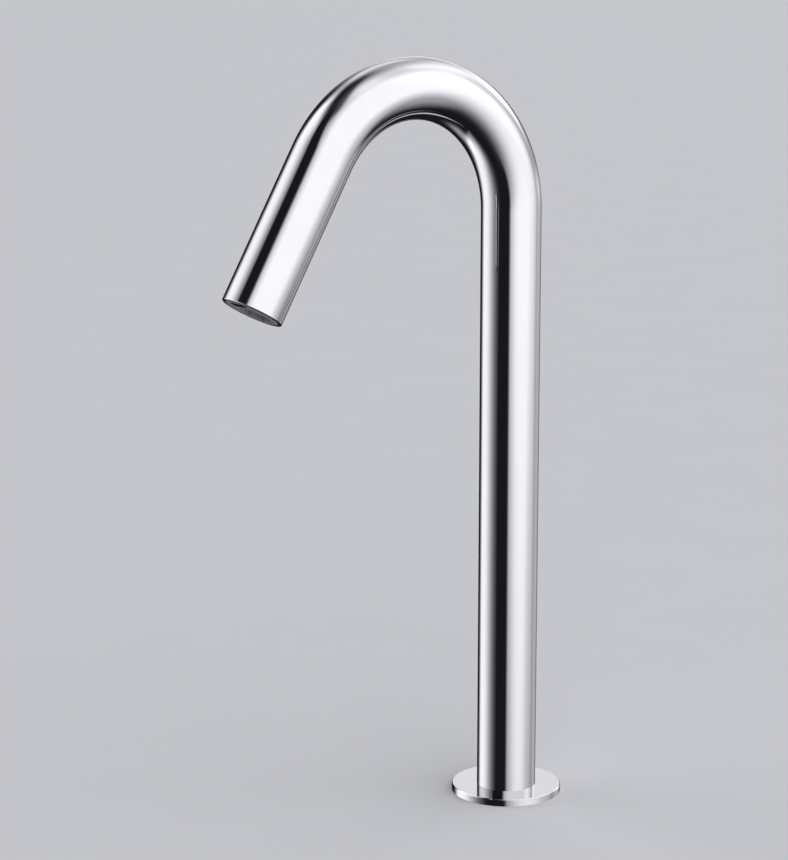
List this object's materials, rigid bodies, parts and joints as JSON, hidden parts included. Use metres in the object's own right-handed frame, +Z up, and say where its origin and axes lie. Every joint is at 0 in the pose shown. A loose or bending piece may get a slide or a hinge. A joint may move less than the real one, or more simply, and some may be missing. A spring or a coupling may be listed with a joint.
{
  "type": "sensor tap",
  "caption": "Tall deck-mounted gooseneck sensor tap: bent chrome tube on a thin round flange, infrared sensor and aerator in its open end, hollow shank and back nut below.",
  "frame": {"origin": "centre of the flange's underside, on the deck's surface", "axes": "+Z up along the column, -Y the side that the spout pours towards, +X to the right of someone who looks along +Y"},
  "size_m": [0.054, 0.188, 0.4135],
  "materials": {
    "chrome": "polished chrome plate",
    "brass": "machined",
    "zinc_steel": "zinc plated",
    "stainless": "drawn",
    "black_rubber": "moulded",
    "red_rubber": "moulded",
    "grey_plastic": "fine moulded texture",
    "white_plastic": "moulded",
    "blue_plastic": "moulded",
    "black_plastic": "moulded",
    "dark_lens": "polished, passes infrared",
    "clear_resin": "cast",
    "diode_resin": "cast",
    "circuit_board": "solder mask",
    "gold_pin": "plated",
    "water_hose": "extruded",
    "lead_jacket": "extruded"
  },
  "bodies": {
    "tap": {"spout_tube": "chrome", "base_flange": "chrome", "deck_gasket": "black_rubber", "mounting_shank": "brass", "outlet_head": "grey_plastic", "head_seal_ring": "black_rubber", "head_grub_screw": "stainless", "sensor_window": "dark_lens", "sensor_holder": "black_plastic", "ir_emitter": "diode_resin", "ir_receiver": "diode_resin", "sensor_board": "circuit_board", "sensor_potting": "clear_resin", "sensor_cable": "lead_jacket", "water_tube": "water_hose", "lower_ferrule": "stainless", "upper_ferrule": "stainless", "lead_socket": "black_plastic", "socket_pins": "gold_pin"},
    "clamp_washers": {"rubber_washer": "black_rubber", "steel_washer": "zinc_steel"},
    "clamp_nut": {"lock_nut": "brass"},
    "aerator_core": {"aerator_seal": "black_rubber", "flow_regulator": "blue_plastic", "regulator_ring": "red_rubber", "inlet_strainer": "white_plastic"},
    "aerator_cartridge": {"aerator_cage": "grey_plastic", "aerator_grille": "grey_plastic", "mixing_screen": "stainless", "jet_disc": "white_plastic"}
  },
  "joints": [
    {"name": "clamp_travel", "type": "slide", "parent": "tap", "child": "clamp_washers", "axis": [0, 0, 1], "range_m": [-0.017, 0.017]},
    {"name": "nut_turn", "type": "hinge", "parent": "clamp_washers", "child": "clamp_nut", "pos_m": [0, 0, -0.029], "axis": [0, 0, 1], "range_deg": [-3373.5, 3373.5]},
    {"name": "aerator_travel", "type": "slide", "parent": "tap", "child": "aerator_core", "axis": [0, -0.5, -0.866], "range_m": [0, 0.006]},
    {"name": "aerator_turn", "type": "hinge", "parent": "aerator_core", "child": "aerator_cartridge", "pos_m": [0, -0.14365, 0.25458], "axis": [0, -0.5, -0.866], "range_deg": [0, 2160.5]}
  ],
  "couplings": [
    {"joint": "nut_turn", "follows": "clamp_travel", "rad_per_m": 3463.1},
    {"joint": "aerator_turn", "follows": "aerator_travel", "rad_per_m": 6283.2}
  ]
}
